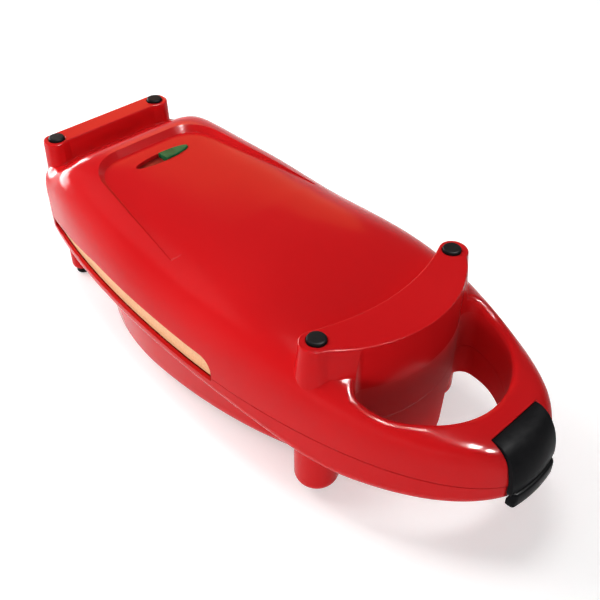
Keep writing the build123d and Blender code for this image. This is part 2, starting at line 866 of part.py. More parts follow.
def nose_room():
    """The flat on the base's nose behind the clip."""
    y = clip_front_y + clip_thickness + clip_nose_gap
    return band(y - clip_reach, y, clip_half_width + clip_side_gap)


def catch():
    """The ledge on the base's nose that the clip closes in front of."""
    y = clip_front_y + clip_thickness + clip_nose_gap
    depth = catch_depth + shell_wall / 2
    middle = y - catch_depth + depth / 2
    return Pos(0, middle, catch_z + catch_height / 2) * Box(2 * catch_half_width, depth, catch_height)


def clip_section(x):
    """Side view of the clip's outer form at x, bowed out towards the middle."""
    reach = clip_reach + clip_bow * (1 - (x / clip_half_width) ** 2)
    upper = EllipticalCenterArc((0, 0), reach, clip_rise, 90, arc_size=90)
    lower = EllipticalCenterArc((0, 0), reach, clip_fall, 180, arc_size=90)
    face = make_face([upper, lower, Line(lower @ 1, upper @ 0)])
    return Plane.YZ.offset(x) * Pos(clip_pivot_y, clip_waist_z) * face


def clip_lip():
    """The lip to pull at the clip's foot, bowed and with rounded ends."""
    front_y = clip_pivot_y - lip_reach
    rear_y = clip_front_y + clip_thickness
    end_y = front_y + lip_bow
    corners = [(-lip_half_width, end_y), (lip_half_width, end_y)]
    front = ThreePointArc(corners[0], (0, front_y), corners[1])
    sides = Polyline(corners[1], (lip_half_width, rear_y), (-lip_half_width, rear_y), corners[0])
    face = make_face([front, sides])
    face = fillet(face.vertices().sort_by(Axis.Y)[:2], lip_corner_radius)
    lip = slab(face, lip_low_z, lip_low_z + lip_height)
    flats = lip.faces().sort_by(Axis.Z)
    return fillet(flats[0].edges() + flats[-1].edges(), lip_edge_radius)


def latch_clip():
    """The clip on the nose: pivot barrel, bowed front and a lip to pull."""
    stations = [clip_half_width * share for share in (-1, -0.5, 0, 0.5, 1)]
    form = loft([clip_section(x) for x in stations])
    height = 2 * (clip_pivot_z - clip_foot_z)
    front_view = Pos(0, clip_pivot_z) * Rectangle(2 * clip_half_width, height)
    front_view = fillet(front_view.vertices().sort_by(Axis.Y)[:2], clip_corner_radius)
    form &= extrude(Plane.XZ * front_view, body_length, both=True)
    form -= side_prism(clip_nose(0), 2 * clip_half_width)
    barrel = Rot(0, 90, 0) * Cylinder(clip_barrel_radius, 2 * clip_half_width)
    body = form + Pos(0, clip_pivot_y, clip_pivot_z) * barrel + clip_lip()
    rear = clip_front_y + clip_thickness + clip_nose_gap - catch_depth - catch_gap
    top = catch_z + catch_height + catch_gap
    room = Box(2 * (catch_half_width + catch_gap), clip_reach, body_height)
    body -= Pos(0, rear + clip_reach / 2, top - body_height / 2) * room
    bore = Cylinder(clip_pin_radius + hinge_running_gap, body_width)
    return body - Pos(0, clip_pivot_y, clip_pivot_z) * Rot(0, 90, 0) * bore


def latch_pin():
    """The pin that the clip turns on, held in the lid's cheeks."""
    length = 2 * (clip_half_width + clip_side_gap + clip_pin_grip)
    return Pos(0, clip_pivot_y, clip_pivot_z) * Rot(0, 90, 0) * Cylinder(clip_pin_radius, length)


def hinge_pins():
    """A headed pin through each set of knuckles, held in the base's."""
    reach = lid_knuckle_width / 2 + knuckle_side_gap + base_knuckle_width
    pin = Cylinder(hinge_pin_radius, 2 * reach)
    head = Cylinder(hinge_pin_head_radius, hinge_pin_head_height)
    pin += Pos(0, 0, reach + hinge_pin_head_height / 2) * head
    return both_sides(Pos(hinge_spacing / 2, hinge_y, parting_z) * Rot(0, 90, 0) * pin)


def window_outline(inset=0.0):
    """The oval window for the two lamps."""
    return Pos(0, window_y) * Ellipse(window_half_length - inset, window_half_width - inset)


def lens(side, top):
    """One half of the window's lens, with a flange under the shell."""
    reach = window_half_length + 2 * lens_flange
    half = Pos(side * (lens_clearance + reach), window_y) * Rectangle(2 * reach, 4 * window_half_width)
    body = slab(window_outline(lens_clearance) & half, seat_z, top)
    if top > recess_z:
        curved = body.faces().sort_by(Axis.Z)[-1].edges().filter_by(GeomType.ELLIPSE)
        body = fillet(curved, green_lens_edge)
    flange = window_outline(-lens_flange) & half
    return body + slab(flange, seat_z - lens_flange_thickness, seat_z)


def lamp_holder():
    """The plate under the lenses, with two cups and two pegs up to the shell."""
    top = seat_z - lens_flange_thickness
    low = top - lamp_holder_plate
    plate_corner = 0.9 * lamp_holder_half_width
    plate = RectangleRounded(2 * lamp_holder_half_length, 2 * lamp_holder_half_width, plate_corner)
    cup = RectangleRounded(2 * lamp_cup_half_length, 2 * lamp_cup_half_width, lamp_cup_half_width / 2)
    body = slab(plate, low, top) + slab(cup, low - lamp_cup_depth, low)
    room = offset(cup, -lamp_cup_wall) - Rectangle(lamp_cup_wall, 4 * lamp_cup_half_width)
    body -= slab(room, low - lamp_cup_depth + lamp_cup_wall, top)
    peg = Cylinder(lamp_peg_radius, lens_flange_thickness)
    body += both_sides(Pos(lamp_peg_half_span, 0, top + lens_flange_thickness / 2) * peg)
    return Pos(0, window_y, 0) * body


def indicator_lamps():
    """Two small lamps that lie in the holder's cups."""
    floor = seat_z - lens_flange_thickness - lamp_holder_plate - lamp_cup_depth + lamp_cup_wall
    lamp = Cylinder(lamp_radius, lamp_length)
    lamp = fillet(lamp.faces().sort_by(Axis.Z)[-1].edges(), lamp_radius * 0.8)
    return both_sides(Pos(lamp_half_span, window_y, floor + lamp_radius) * Rot(0, 90, 0) * lamp)


def pan(depth, inset):
    """An oval pan with its flange: face at z = 0, floor away from it."""
    flange = outline(inset) & strip(flange_front_y, flange_rear_y)
    flange = fillet(flange.vertices().sort_by(Axis.Y)[:2], flange_corner_radius)
    body = slab(flange, 0, flange_thickness)
    outer_wide = pan_half_width + pan_wall
    outer_long = pan_half_length + pan_wall
    outer_corner = pan_corner_radius + pan_wall
    body += tub(outer_wide, outer_long, pan_floor_inset, depth + pan_wall, outer_corner)
    body -= tub(pan_half_width, pan_half_length, pan_floor_inset, depth, pan_corner_radius)
    for hole in screw_holes(pan_screws()):
        body -= hole
    return body


def lid_skirt():
    """The skirt along both sides of the lid's pan, which shows in the side openings."""
    ring = outline(lid_flange_inset) - outline(lid_flange_inset + skirt_wall)
    ring &= strip(slot_front_y - skirt_front_cover, slot_rear_y - skirt_rear_gap)
    return slab(ring, -skirt_drop, skirt_height)


def element(depth):
    """A bent tube element that lies on the far side of a pan's floor, with its pins."""
    z = depth + pan_wall + element_radius
    front = oven_y - element_front_from_middle + element_half_span
    rear = oven_y + element_rear_from_middle
    right = Line((element_half_span, rear, z), (element_half_span, front, z))
    bend = ThreePointArc(right @ 1, (0, front - element_half_span, z), (-element_half_span, front, z))
    left = Line(bend @ 1, (-element_half_span, rear, z))
    path = right + bend + left
    body = sweep(Plane(origin=right @ 0, z_dir=(0, -1, 0)) * Circle(element_radius), path=path)
    pin = Rot(90, 0, 0) * Cylinder(element_pin_radius, element_pin_length)
    return body + both_sides(Pos(element_half_span, rear + element_pin_length / 2, z) * pin)


def straps(depth):
    """Straps that hold an element against its pan."""
    z = depth + pan_wall
    ring = Circle(strap_reach) + Pos(0, -element_radius / 2) * Rectangle(2 * strap_reach, element_radius)
    foot_z = strap_thickness / 2 - element_radius
    feet = Pos(0, foot_z) * Rectangle(2 * (strap_reach + strap_foot), strap_thickness)
    channel = Pos(0, -element_radius) * Rectangle(2 * element_radius, 2 * element_radius)
    above = Pos(0, body_height / 2 - element_radius) * Rectangle(body_height, body_height)
    profile = (ring + feet - Circle(element_radius) - channel) & above
    strap = extrude(Plane.XZ * profile, strap_width / 2, both=True)
    body = []
    for place in strap_places:
        x = element_half_span
        body.append(both_sides(Pos(x, oven_y + place, z + element_radius) * strap))
    return body


def tray(depth):
    """The bright tray between an element and the shell, clamped by the pan's flange."""
    deep = depth + pan_wall + element_radius + strap_reach + tray_gap / 3
    outer = tub(tray_half_width, tray_half_length, tray_floor_inset, deep + tray_wall, tray_corner_radius)
    inner = tub(
        tray_half_width - tray_wall,
        tray_half_length - tray_wall,
        tray_floor_inset,
        deep,
        tray_corner_radius - tray_wall,
    )
    lip = Pos(0, oven_y) * Ellipse(tray_half_width + tray_lip, tray_half_length + tray_lip)
    body = outer + slab(lip, flange_thickness, flange_thickness + tray_wall)
    body -= inner
    body -= slab(strip(oven_y - body_length, oven_y + body_length), -1, flange_thickness)
    z = depth + pan_wall + element_radius
    hole = Rot(90, 0, 0) * Cylinder(element_pin_radius + tray_hole_clearance, tray_half_length)
    return body - both_sides(Pos(element_half_span, oven_y + tray_half_length, z) * hole)


def thermostat(depth):
    """A disc thermostat with two tabs, seated on the far side of a pan's floor."""
    z = depth + pan_wall
    body = Pos(0, 0, thermostat_height / 2) * Cylinder(thermostat_radius, thermostat_height)
    body = fillet(body.faces().sort_by(Axis.Z)[-1].edges(), thermostat_tab_thickness)
    tab = Box(2 * thermostat_tab_reach, thermostat_tab_width, thermostat_tab_thickness)
    body += Pos(0, 0, thermostat_height / 2) * tab
    return Pos(0, oven_y, z) * body


def thermal_fuse():
    """A fuse in its sleeve against the base pan's floor."""
    z = base_pan_depth + pan_wall + fuse_radius
    body = Cylinder(fuse_radius, fuse_length) + Cylinder(fuse_wire_radius, 2 * fuse_wire_reach)
    return Pos(0, oven_y + fuse_from_middle, z) * Rot(90, 0, 0) * body


def handle_plate():
    """The plate that closes the hollow handle at the parting plane."""
    edge = shell_wall + plate_clearance
    front = nose_wall_y + plate_clearance
    plate = outline(edge) & strip(front, flange_front_y - plate_rear_gap)
    body = slab(plate, 0, flange_thickness) - grip_prism(grip_wall + plate_clearance)
    for hole in screw_holes(handle_screws()):
        body -= hole
    return body


def cord_gland():
    """The ribbed sleeve that takes the supply cord through the belly's rear wall."""
    rear = gland_face_y + gland_outside
    front = gland_face_y - shell_wall
    inner = Pos(0, 0, (front + gland_face_y) / 2) * Cylinder(gland_radius, gland_face_y - front)
    cone = Cone(gland_radius, gland_tip_radius, gland_outside)
    body = inner + Pos(0, 0, gland_face_y + gland_outside / 2) * cone
    flange = Cylinder(gland_flange_radius, gland_flange_thickness)
    flange_y = gland_face_y + gland_flange_thickness / 2
    body += Pos(0, 0, flange_y) * flange
    pitch = (gland_outside - gland_flange_thickness) / (gland_rings + 1)
    ring = Cylinder(gland_flange_radius, gland_ring_width) - Cylinder(
        gland_tip_radius - gland_ring_depth / 2, gland_ring_width
    )
    for index in range(gland_rings):
        body -= Pos(0, 0, gland_face_y + gland_flange_thickness + pitch * (index + 1)) * ring
    body -= Pos(0, 0, (front + rear) / 2) * Cylinder(gland_bore_radius, rear - front + 1)
    return Pos(0, 0, gland_z) * Rot(-90, 0, 0) * body


def terminal_block():
    """The block on the rim's floor that joins the cord to the leads."""
    y = block_rear_y - block_length / 2
    body = Box(2 * block_half_width, block_length, block_height)
    pitch = 2 * block_half_width / block_ways
    for way in range(block_ways):
        x = pitch * (way + 0.5) - block_half_width
        body -= Pos(x, 0, block_height / 2) * Cylinder(pitch * 0.3, block_height * 0.6)
        if way:
            body -= Pos(x - pitch / 2, 0, block_height / 2) * Box(1, block_length, block_height * 0.4)
    return Pos(0, y, rim_inner_z + block_height / 2) * body


def element_leads(depth, places, z_end):
    """Two leads from an element's pins, outside the tray, to places near the rear."""
    z = depth + pan_wall + element_radius
    pin_y = oven_y + element_rear_from_middle + element_pin_length
    leads = []
    for x, (end_x, end_y) in zip((-element_half_span, element_half_span), places):
        points = [
            (x, pin_y, z),
            (x, pin_y + conductor_bend, z),
            (x, pin_y + 3.6 * conductor_bend, z_end),
            (end_x, end_y - lead_tail, z_end),
            (end_x, end_y, z_end),
        ]
        leads.append(tube(points, conductor_radius, conductor_bend * 0.7))
    return leads


def supply_leads():
    """Leads from the gland and from the base's element to the terminal block."""
    front_y = block_rear_y - block_length
    z = parting_z - lead_level - conductor_radius
    z_end = parting_z - flange_gap - z
    ends = [(-block_half_width * 0.7, front_y), (block_half_width * 0.7, front_y)]
    leads = [in_base(lead) for lead in element_leads(base_pan_depth, ends, z_end)]
    turn_y = oven_y + tray_half_length + conductor_radius + tray_wall / 2
    for side in (-1, 1):
        x = side * conductor_half_spacing
        points = [
            (x, gland_face_y - shell_wall - lead_from_gland, gland_z),
            (x, turn_y, gland_z),
            (x, turn_y, z),
            (x, front_y, z),
        ]
        leads.append(tube(points, conductor_radius, conductor_bend))
    return leads


def hinge_lead():
    """The lead from the terminal block out to the hinge's axis and along it."""
    points = [
        (-hinge_lead_offset, block_rear_y, parting_z - lead_level),
        (-hinge_lead_offset, block_rear_y + lead_straight, parting_z - lead_level),
        (-hinge_lead_offset, hinge_y, parting_z),
        (-hinge_lead_gap, hinge_y, parting_z),
    ]
    return tube(points, hinge_lead_radius, hinge_lead_bend)


def lid_leads():
    """Leads from the lid's element to the inner end of the lead across the hinge."""
    near = hinge_lead_offset - conductor_radius
    far = hinge_lead_offset + conductor_radius
    z_end = lead_level - flange_gap
    leads = element_leads(lid_pan_depth, [(near, block_rear_y), (far, block_rear_y)], z_end)
    return [in_lid(lead) for lead in leads]


def lead_sleeve():
    """The sleeve round both leads on the hinge's axis, a push fit on the base's lead."""
    sleeve = Cylinder(hinge_lead_radius + lead_clearance + sleeve_wall, 2 * sleeve_half_length)
    sleeve -= Cylinder(hinge_lead_radius, 2 * sleeve_half_length)
    room = Cylinder(hinge_lead_radius + lead_clearance, sleeve_half_length)
    room = Pos(0, 0, sleeve_half_length / 2) * room
    return Pos(0, hinge_y, parting_z) * Rot(0, 90, 0) * (sleeve - room)


def write(name, shape):
    """Writes one sub-part, which may be several separate solids."""
    if isinstance(shape, list):
        shape = Compound(children=[solid for part in shape for solid in part.solids()])
    export_step(shape, f"parts/{name}.step")


write("lid_shell", lid_shell())
write("base_shell", base_shell())
write("lid_handle_plate", in_lid(handle_plate()))
write("base_handle_plate", in_base(handle_plate()))
write("lid_pan", in_lid(pan(lid_pan_depth, lid_flange_inset) + lid_skirt()))
write("base_pan", in_base(pan(base_pan_depth, base_flange_inset)))
write("lid_heating_element", in_lid(element(lid_pan_depth)))
write("base_heating_element", in_base(element(base_pan_depth)))
write("lid_element_straps", [in_lid(strap) for strap in straps(lid_pan_depth)])
write("base_element_straps", [in_base(strap) for strap in straps(base_pan_depth)])
write("lid_heat_reflector", in_lid(tray(lid_pan_depth)))
write("base_heat_reflector", in_base(tray(base_pan_depth)))
write("lid_thermostat", in_lid(thermostat(lid_pan_depth)))
write("base_thermostat", in_base(thermostat(base_pan_depth)))
write("thermal_fuse", in_base(thermal_fuse()))
write("power_lens_red", lens(-1, recess_z - red_lens_sunk))
write("ready_lens_green", lens(1, recess_z + green_lens_proud))
write("lamp_holder", lamp_holder())
write("indicator_lamps", indicator_lamps())
write("lid_front_pads", pads(lid_pads[0], pad_proud))
write("lid_rear_pads", pads(lid_pads[1], pad_proud))
write("base_front_pads", flipped(pads(base_pads[0], base_pad_proud)))
write("base_rear_pads", flipped(pads(base_pads[1], base_pad_proud)))
write("lid_screws", [in_lid(one) for one in screws()])
write("base_screws", [in_base(one) for one in screws()])
write("latch_clip", latch_clip())
write("latch_pin", latch_pin())
write("hinge_pins", hinge_pins())
write("cord_gland", cord_gland())
write("terminal_block", terminal_block())
write("supply_leads", supply_leads())
write("lid_leads", lid_leads())
write("base_hinge_lead", hinge_lead())
write("lid_hinge_lead", mirror(flipped(hinge_lead()), Plane.YZ))
write("lead_sleeve", lead_sleeve())
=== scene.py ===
import json
import math

import bmesh
import bpy
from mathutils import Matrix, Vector


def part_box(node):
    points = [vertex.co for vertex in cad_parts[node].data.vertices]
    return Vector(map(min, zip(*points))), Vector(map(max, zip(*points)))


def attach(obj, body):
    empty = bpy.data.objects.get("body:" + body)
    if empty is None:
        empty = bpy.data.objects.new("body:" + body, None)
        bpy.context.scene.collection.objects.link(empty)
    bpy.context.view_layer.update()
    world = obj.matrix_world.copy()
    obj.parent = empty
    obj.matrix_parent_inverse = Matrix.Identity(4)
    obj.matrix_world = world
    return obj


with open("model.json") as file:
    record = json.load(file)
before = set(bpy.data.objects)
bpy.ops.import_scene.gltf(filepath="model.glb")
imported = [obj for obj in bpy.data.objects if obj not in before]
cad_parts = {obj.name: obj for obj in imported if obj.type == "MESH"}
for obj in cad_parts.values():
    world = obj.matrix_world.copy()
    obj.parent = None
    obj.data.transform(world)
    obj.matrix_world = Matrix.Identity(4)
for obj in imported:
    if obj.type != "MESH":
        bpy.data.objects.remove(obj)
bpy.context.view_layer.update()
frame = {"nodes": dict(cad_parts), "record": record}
RECORD = frame["record"]
NODES = frame["nodes"]

# All lengths are in metres in the part's frame.
# A span is given as its middle and its reach to either side.
WHITE = (1.0, 1.0, 1.0)

# Camera, fitted to the photograph
CAMERA_PLACE = (-0.2796, -0.3150, 0.4109)
CAMERA_AIM = (0.5275, 0.5502, -0.6473)
CAMERA_LENS = 50.77
CAMERA_SENSOR = 36.0
CAMERA_CLIP = 0.01

# How much of a noise's range a tint and a polish run over
TINT_RANGE = (0.35, 0.65)
POLISH_RANGE = (0.3, 0.7)

# Radius at which the red shells' hard edges catch the light, and samples for it
EDGE_RADIUS = 0.0006
RIM_RADIUS = 0.003
BEVEL_SAMPLES = 6

# Rim of the handle opening, which has the larger radius: spans of Y and Z
RIM_Y = (-0.1440, 0.0260)
RIM_Z = (0.0880, 0.0100)

# Walls inside the handle opening: a half ellipse in front of the rear wall, and spans of Y and Z
WALLS_REAR = -0.1149
WALLS_HALF_WIDTH = 0.0560
WALLS_DEPTH = 0.0540
WALLS_Y = (-0.1410, 0.0330)
WALLS_Z = (0.0430, 0.0430)
WALLS_DULLER = 0.45

# Band where the recess runs out in the crown. Its line runs back with the fourth power of X.
SEAM_BOW = 594.0
SEAM_Y = (0.0177, 0.0022)
SEAM_X = (0.0, 0.054)
SEAM_Z = (0.110, 0.010)

# The crown's slope in that band: sideways, and along Y from the band's front to its rear
CROWN_TILT = 0.7
CROWN_BEND = 1750.0
CROWN_FALL = (-0.027, -0.005)

# Lip of the latch clip: its outline, and its rings as rise over the bottom and inset
LIP_HALF_WIDTH = 0.0186
LIP_BOW = 0.0020
LIP_CORNER = 0.0034
LIP_CORNER_STEPS = 8
LIP_AHEAD = 0.0002
LIP_BEHIND = 0.0052
LIP_BELOW = 0.0001
LIP_RINGS = (
    (0.0, 0.0016), (0.0003, 0.0008), (0.0010, 0.0002), (0.0019, 0.0),
    (0.0090, 0.0), (0.0098, 0.0002), (0.0104, 0.0007), (0.0106, 0.0014),
)
LIP_SMOOTH_DEGREES = 50

# Floor: how far below the pads it lies, and how its lift to the eye grows with distance
FLOOR_SIZE = 12.0
FLOOR_BELOW = 0.0002
FLOOR_COLOUR = (0.80, 0.80, 0.80)
FLOOR_ROUGHNESS = 0.9
FLOOR_LIFT = (0.48, 0.95)
FLOOR_DISTANCE = (0.8, 2.5)

# What the panes that show only in the gloss are turned to
NOSE_TOP = (-0.03, -0.18, 0.08)
ARM_TOP = (0.0, -0.15, 0.09)

# World: its strength at the horizon and overhead, and the heights between which it falls
SKY_STRENGTH = (1.0, 0.20)
SKY_HEIGHT = (0.12, 0.42)


def calculated(tree, operation, *values):
    """The result of a math node that takes other nodes' outputs and plain numbers."""
    node = tree.nodes.new("ShaderNodeMath")
    node.operation = operation
    for socket, value in zip(node.inputs, values):
        if isinstance(value, float):
            socket.default_value = value
        else:
            tree.links.new(value, socket)
    return node.outputs[0]


def mapped(tree, source, low, high, start, end):
    """Maps a value from start and end to low and high."""
    node = tree.nodes.new("ShaderNodeMapRange")
    node.inputs["From Min"].default_value = start
    node.inputs["From Max"].default_value = end
    node.inputs["To Min"].default_value = low
    node.inputs["To Max"].default_value = high
    tree.links.new(source, node.inputs["Value"])
    return node.outputs["Result"]


def new_object(name, data):
    made = bpy.data.objects.new(name, data)
    bpy.context.scene.collection.objects.link(made)
    return made


def turn_to(made, direction):
    """Turns a lamp or camera to look in a direction, with its top up."""
    made.rotation_mode = "QUATERNION"
    made.rotation_quaternion = Vector(direction).to_track_quat("-Z", "Y")


class Shader:
    """A node material with a Principled shader and object coordinates."""

    def __init__(self, slot, metallic=0.0):
        self.slot = slot
        self.material = bpy.data.materials.new(slot)
        self.material.use_nodes = True
        self.tree = self.material.node_tree
        self.nodes = self.tree.nodes
        self.bsdf = self.nodes["Principled BSDF"]
        self.set("Metallic", metallic)
        self.place = self.nodes.new("ShaderNodeTexCoord").outputs["Object"]
        self.normal = None

    def set(self, socket, value):
        self.bsdf.inputs[socket].default_value = value

    def link(self, output, socket):
        self.tree.links.new(output, socket)

    def noise(self, scale, detail=3.0, roughness=0.5, stretch=None):
        node = self.nodes.new("ShaderNodeTexNoise")
        node.inputs["Scale"].default_value = scale
        node.inputs["Detail"].default_value = detail
        node.inputs["Roughness"].default_value = roughness
        source = self.place
        if stretch:
            mapping = self.nodes.new("ShaderNodeMapping")
            mapping.inputs["Scale"].default_value = stretch
            self.link(source, mapping.inputs["Vector"])
            source = mapping.outputs["Vector"]
        self.link(source, node.inputs["Vector"])
        return node.outputs["Fac"]

    def cells(self, scale):
        node = self.nodes.new("ShaderNodeTexVoronoi")
        node.inputs["Scale"].default_value = scale
        self.link(self.place, node.inputs["Vector"])
        return node.outputs["Distance"]

    def tint(self, source, first, second):
        """Varies the colour between two tones."""
        ramp = self.nodes.new("ShaderNodeValToRGB")
        for stop, position, colour in zip(ramp.color_ramp.elements, TINT_RANGE, (first, second)):
            stop.position = position
            stop.color = (*colour, 1.0)
        self.link(source, ramp.inputs["Fac"])
        self.link(ramp.outputs["Color"], self.bsdf.inputs["Base Color"])

    def polish(self, source, low, high):
        """Varies the roughness."""
        varied = mapped(self.tree, source, low, high, *POLISH_RANGE)
        self.link(varied, self.bsdf.inputs["Roughness"])
        return varied

    def bump(self, source, depth, strength):
        """Varies the surface, over the normal that the material has set before."""
        node = self.nodes.new("ShaderNodeBump")
        node.inputs["Distance"].default_value = depth
        node.inputs["Strength"].default_value = strength
        self.link(source, node.inputs["Height"])
        if self.normal is not None:
            self.link(self.normal, node.inputs["Normal"])
        self.link(node.outputs["Normal"], self.bsdf.inputs["Normal"])


class ShellShader(Shader):
    """A material of the red shells, which differs from place to place on them."""

    def __init__(self, slot):
        super().__init__(slot)
        parts = self.nodes.new("ShaderNodeSeparateXYZ")
        self.link(self.place, parts.inputs[0])
        self.x, self.y, self.z = parts.outputs

    def math(self, operation, *values):
        return calculated(self.tree, operation, *values)

    def squared(self, value, unit):
        share = self.math("DIVIDE", value, unit)
        return self.math("MULTIPLY", share, share)

    def inside(self, *spans):
        """1 where each value is within its span, else 0."""
        share = None
        for value, (middle, reach) in spans:
            near = self.math("COMPARE", value, middle, reach)
            share = near if share is None else self.math("MULTIPLY", share, near)
        return share

    def walls(self):
        """1 on the walls inside the handle opening, else 0."""
        across = self.squared(self.x, WALLS_HALF_WIDTH)
        along = self.squared(self.math("SUBTRACT", self.y, WALLS_REAR), WALLS_DEPTH)
        around = self.math("LESS_THAN", self.math("ADD", across, along), 1.0)
        return self.math("MULTIPLY", around, self.inside((self.y, WALLS_Y), (self.z, WALLS_Z)))

    def dull_walls(self, varied):
        """Makes the walls inside the handle opening duller than the polish elsewhere."""
        dulled = self.math("MULTIPLY_ADD", self.walls(), WALLS_DULLER, varied)
        self.link(dulled, self.bsdf.inputs["Roughness"])

    def bevel(self, radius):
        node = self.nodes.new("ShaderNodeBevel")
        node.samples = BEVEL_SAMPLES
        node.inputs["Radius"].default_value = radius
        return node.outputs["Normal"]

    def mixed(self, share, first, second):
        mix = self.nodes.new("ShaderNodeMix")
        mix.data_type = "VECTOR"
        self.link(share, mix.inputs[0])
        self.link(first, mix.inputs[4])
        self.link(second, mix.inputs[5])
        return mix.outputs[1]

    def crown_normal(self, along):
        """The crown's own slope where the recess runs out, in the world's directions."""
        squared = self.math("MULTIPLY", self.x, self.x)
        tilt = self.math("MULTIPLY_ADD", squared, CROWN_BEND, CROWN_TILT)
        middle, reach = SEAM_Y
        slope = self.nodes.new("ShaderNodeCombineXYZ")
        self.link(self.math("MULTIPLY", self.x, tilt), slope.inputs["X"])
        fall = mapped(self.tree, along, *CROWN_FALL, middle - reach, middle + reach)
        self.link(fall, slope.inputs["Y"])
        slope.inputs["Z"].default_value = 1.0
        turned = self.nodes.new("ShaderNodeVectorTransform")
        turned.vector_type = "NORMAL"
        turned.convert_from = "OBJECT"
        turned.convert_to = "WORLD"
        self.link(slope.outputs[0], turned.inputs[0])
        unit = self.nodes.new("ShaderNodeVectorMath")
        unit.operation = "NORMALIZE"
        self.link(turned.outputs[0], unit.inputs[0])
        return unit.outputs[0]

    def edges(self):
        """Rounds hard edges to the light, as a mould does, more so along the handle opening's rim,
        and fades the recess's front end into the crown."""
        rim = self.inside((self.y, RIM_Y), (self.z, RIM_Z))
        rounded = self.mixed(rim, self.bevel(EDGE_RADIUS), self.bevel(RIM_RADIUS))
        squared = self.math("MULTIPLY", self.x, self.x)
        fourth = self.math("MULTIPLY", squared, squared)
        along = self.math("MULTIPLY_ADD", fourth, -SEAM_BOW, self.y)
        seam = self.inside((along, SEAM_Y), (self.x, SEAM_X), (self.z, SEAM_Z))
        self.normal = self.mixed(seam, rounded, self.crown_normal(along))


def red_shell():
    """High gloss moulded red with a faint orange peel and a slightly uneven polish."""
    s = ShellShader("red_shell")
    s.tint(s.noise(6.0, detail=2.0), (0.575, 0.0075, 0.0095), (0.625, 0.0100, 0.0120))
    s.dull_walls(s.polish(s.noise(38.0, detail=4.0), low=0.11, high=0.17))
    s.edges()
    s.bump(s.noise(420.0, detail=2.0), depth=0.00002, strength=0.25)
    s.set("IOR", 1.49)
    s.set("Specular IOR Level", 0.07)
    return s


def pan_coating():
    """Copper-coloured non-stick coating with a fine speckle."""
    s = Shader("pan_coating")
    s.tint(s.noise(700.0, detail=2.0), (0.84, 0.45, 0.22), (0.93, 0.55, 0.29))
    s.polish(s.noise(220.0), low=0.34, high=0.50)
    s.bump(s.noise(900.0, detail=2.0), depth=0.00003, strength=0.5)
    return s


def brushed(slot, colour, low, high, scale):
    """Steel or aluminium with fine scratches along one direction."""
    s = Shader(slot, metallic=1.0)
    s.set("Base Color", (*colour, 1.0))
    s.polish(s.noise(scale, roughness=0.6, stretch=(1.0, 18.0, 1.0)), low, high)
    scratches = s.noise(scale * 2, detail=2.0, stretch=(1.0, 25.0, 1.0))
    s.bump(scratches, depth=0.00002, strength=0.4)
    return s


def element_steel():
    """The element's sheath, darkened in patches by heat."""
    s = Shader("element_steel", metallic=1.0)
    s.tint(s.noise(60.0, detail=4.0), (0.13, 0.11, 0.11), (0.30, 0.26, 0.22))
    s.polish(s.noise(140.0), low=0.36, high=0.58)
    s.bump(s.noise(700.0, detail=2.0), depth=0.00003, strength=0.4)
    return s


def matt(slot, first, second, low, high, grain, depth, shine=0.5):
    """A moulded or rubber surface with a fine grain."""
    s = Shader(slot)
    s.set("Specular IOR Level", shine)
    s.tint(s.noise(45.0), first, second)
    s.polish(s.noise(260.0), low, high)
    s.bump(s.noise(grain, roughness=0.6), depth, strength=0.6)
    return s


def lens(slot, first, second, low, high):
    """A dark tinted lens with small cells moulded in."""
    s = Shader(slot)
    s.tint(s.noise(120.0, detail=2.0), first, second)
    s.polish(s.noise(300.0, detail=2.0), low, high)
    s.bump(s.cells(900.0), depth=0.00006, strength=0.5)
    s.set("Specular IOR Level", 0.06)
    return s


def lamp_glass():
    """Clear, faintly warm glass."""
    s = Shader("lamp_glass")
    s.set("Base Color", (0.95, 0.86, 0.74, 1.0))
    s.polish(s.noise(200.0, detail=2.0), low=0.04, high=0.12)
    s.set("Transmission Weight", 0.85)
    s.set("IOR", 1.45)
    return s


SHADERS = (
    red_shell(),
    pan_coating(),
    element_steel(),
    brushed("bright_steel", (0.62, 0.61, 0.59), low=0.22, high=0.38, scale=160.0),
    brushed("bright_aluminium", (0.78, 0.79, 0.80), low=0.16, high=0.30, scale=120.0),
    brushed("screw_steel", (0.60, 0.60, 0.61), low=0.18, high=0.32, scale=300.0),
    lens("lens_red", (0.16, 0.010, 0.008), (0.27, 0.018, 0.012), low=0.08, high=0.16),
    lens("lens_green", (0.008, 0.085, 0.028), (0.016, 0.15, 0.055), low=0.06, high=0.14),
    lamp_glass(),
    matt("fuse_white", (0.72, 0.69, 0.60), (0.80, 0.77, 0.69),
         low=0.50, high=0.65, grain=900.0, depth=0.00003),
    matt("lead_jacket", (0.62, 0.61, 0.57), (0.70, 0.69, 0.66),
         low=0.50, high=0.62, grain=1000.0, depth=0.00003),
    matt("black_plastic", (0.005, 0.005, 0.006), (0.008, 0.008, 0.009),
         low=0.30, high=0.40, grain=1300.0, depth=0.00003, shine=0.02),
    matt("pad_rubber", (0.005, 0.005, 0.006), (0.010, 0.009, 0.009),
         low=0.40, high=0.55, grain=1100.0, depth=0.00004, shine=0.03),
    matt("black_rubber", (0.006, 0.006, 0.007), (0.011, 0.010, 0.010),
         low=0.50, high=0.65, grain=1100.0, depth=0.00005, shine=0.3),
)
MATERIALS = {shader.slot: shader.material for shader in SHADERS}

for part in RECORD["subparts"]:
    node = NODES[part["node"]]
    node.data.materials.clear()
    node.data.materials.append(MATERIALS[part["material_slot"]])


